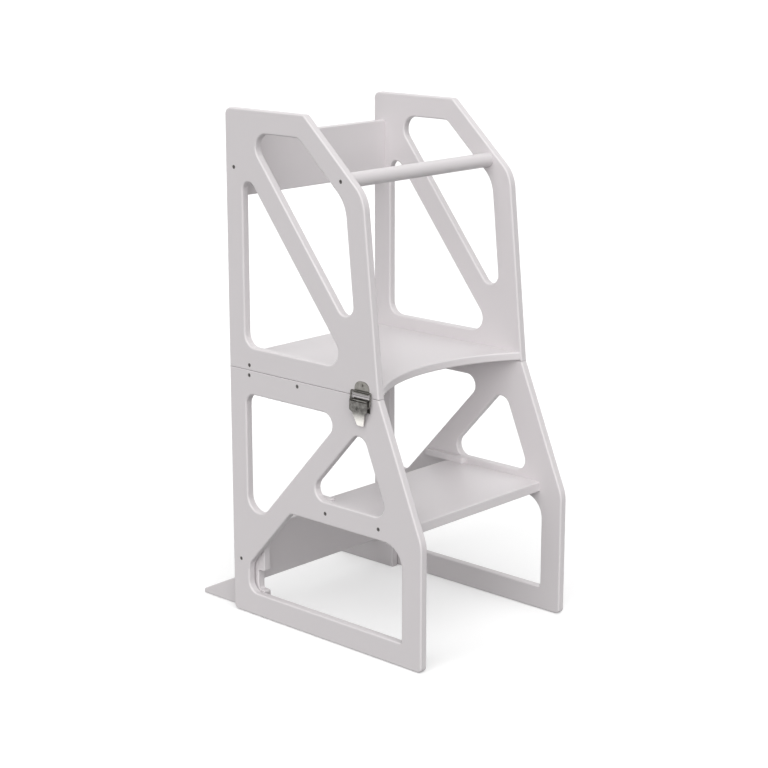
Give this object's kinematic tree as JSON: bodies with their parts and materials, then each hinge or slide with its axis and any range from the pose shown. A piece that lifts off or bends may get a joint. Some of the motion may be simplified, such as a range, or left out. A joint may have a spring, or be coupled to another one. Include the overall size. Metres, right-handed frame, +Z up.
{
  "type": "toddler kitchen helper stool",
  "caption": "Standing stool for a toddler at a counter: cut-out side panels, platform, step, guard bar and back boards; the upper half folds back on rear hinges, held by side latches",
  "frame": {"origin": "on the floor, under the middle of the bounding box", "axes": "+Z up, +X to the child's left as seen from the front (the front, where the child stands at the counter, faces -Y), so -Y is the front and +Y the rear with the hinges and toes"},
  "size_m": [0.4066, 0.55, 0.9],
  "materials": {
    "upper_left_panel": "smooth light grey satin paint on fibreboard or plywood",
    "lower_left_panel": "smooth light grey satin paint on fibreboard or plywood",
    "upper_right_panel": "smooth light grey satin paint on fibreboard or plywood",
    "lower_right_panel": "smooth light grey satin paint on fibreboard or plywood",
    "platform_board": "smooth light grey satin paint on fibreboard or plywood",
    "ledge_board": "smooth light grey satin paint on fibreboard or plywood",
    "step_board": "smooth light grey satin paint on fibreboard or plywood",
    "upper_back_board": "smooth light grey satin paint on fibreboard or plywood",
    "lower_back_board": "smooth light grey satin paint on fibreboard or plywood",
    "guard_bar": "smooth light grey satin paint on fibreboard or plywood",
    "left_foot_board": "smooth light grey satin paint on fibreboard or plywood",
    "left_step_cleat": "smooth light grey satin paint on fibreboard or plywood",
    "hinge_steel": "satin zinc-plated steel",
    "latch_nickel": "bright nickel-plated steel",
    "right_foot_board": "smooth light grey satin paint on fibreboard or plywood",
    "right_step_cleat": "smooth light grey satin paint on fibreboard or plywood",
    "dark_screw": "blackened steel screw heads"
  },
  "bodies": {
    "lower_half": {"lower_left_panel": "lower_left_panel", "lower_right_panel": "lower_right_panel", "ledge_board": "ledge_board", "step_board": "step_board", "lower_back_board": "lower_back_board", "left_foot_board": "left_foot_board", "left_step_cleat": "left_step_cleat", "left_hinge_lower_leaf": "hinge_steel", "left_hinge_pin": "hinge_steel", "left_latch_base": "latch_nickel", "left_latch_pin": "latch_nickel", "right_foot_board": "right_foot_board", "right_step_cleat": "right_step_cleat", "right_hinge_lower_leaf": "hinge_steel", "right_hinge_pin": "hinge_steel", "right_latch_base": "latch_nickel", "right_latch_pin": "latch_nickel", "lower_board_screws": "dark_screw", "foot_screws": "dark_screw", "hinge_lower_screws": "hinge_steel", "latch_base_screws": "latch_nickel"},
    "upper_half": {"upper_left_panel": "upper_left_panel", "upper_right_panel": "upper_right_panel", "platform_board": "platform_board", "upper_back_board": "upper_back_board", "guard_bar": "guard_bar", "left_hinge_upper_leaf": "hinge_steel", "right_hinge_upper_leaf": "hinge_steel", "left_latch_catch": "latch_nickel", "right_latch_catch": "latch_nickel", "upper_board_screws": "dark_screw", "hinge_upper_screws": "hinge_steel", "latch_catch_screws": "latch_nickel"},
    "left_lever": {"left_latch_lever": "latch_nickel"},
    "left_loop": {"left_latch_loop": "latch_nickel"},
    "right_lever": {"right_latch_lever": "latch_nickel"},
    "right_loop": {"right_latch_loop": "latch_nickel"}
  },
  "joints": [
    {"name": "upper_half_fold", "type": "hinge", "parent": "lower_half", "child": "upper_half", "pos_m": [0, 0.178, 0.45], "axis": [-1, 0, 0], "range_deg": [0, 180]},
    {"name": "left_latch_open", "type": "hinge", "parent": "lower_half", "child": "left_lever", "pos_m": [-0.1985, -0.144, 0.444], "axis": [0, 1, 0], "range_deg": [0, 150]},
    {"name": "left_loop_swing", "type": "hinge", "parent": "left_lever", "child": "left_loop", "pos_m": [-0.1985, -0.144, 0.437], "axis": [0, -1, 0], "range_deg": [0, 165]},
    {"name": "right_latch_open", "type": "hinge", "parent": "lower_half", "child": "right_lever", "pos_m": [0.1985, -0.144, 0.444], "axis": [0, -1, 0], "range_deg": [0, 150]},
    {"name": "right_loop_swing", "type": "hinge", "parent": "right_lever", "child": "right_loop", "pos_m": [0.1985, -0.144, 0.437], "axis": [0, 1, 0], "range_deg": [0, 165]}
  ],
  "couplings": [
    {"joint": "left_loop_swing", "follows": "left_latch_open", "ratio": 1.1},
    {"joint": "right_loop_swing", "follows": "right_latch_open", "ratio": 1.1}
  ]
}
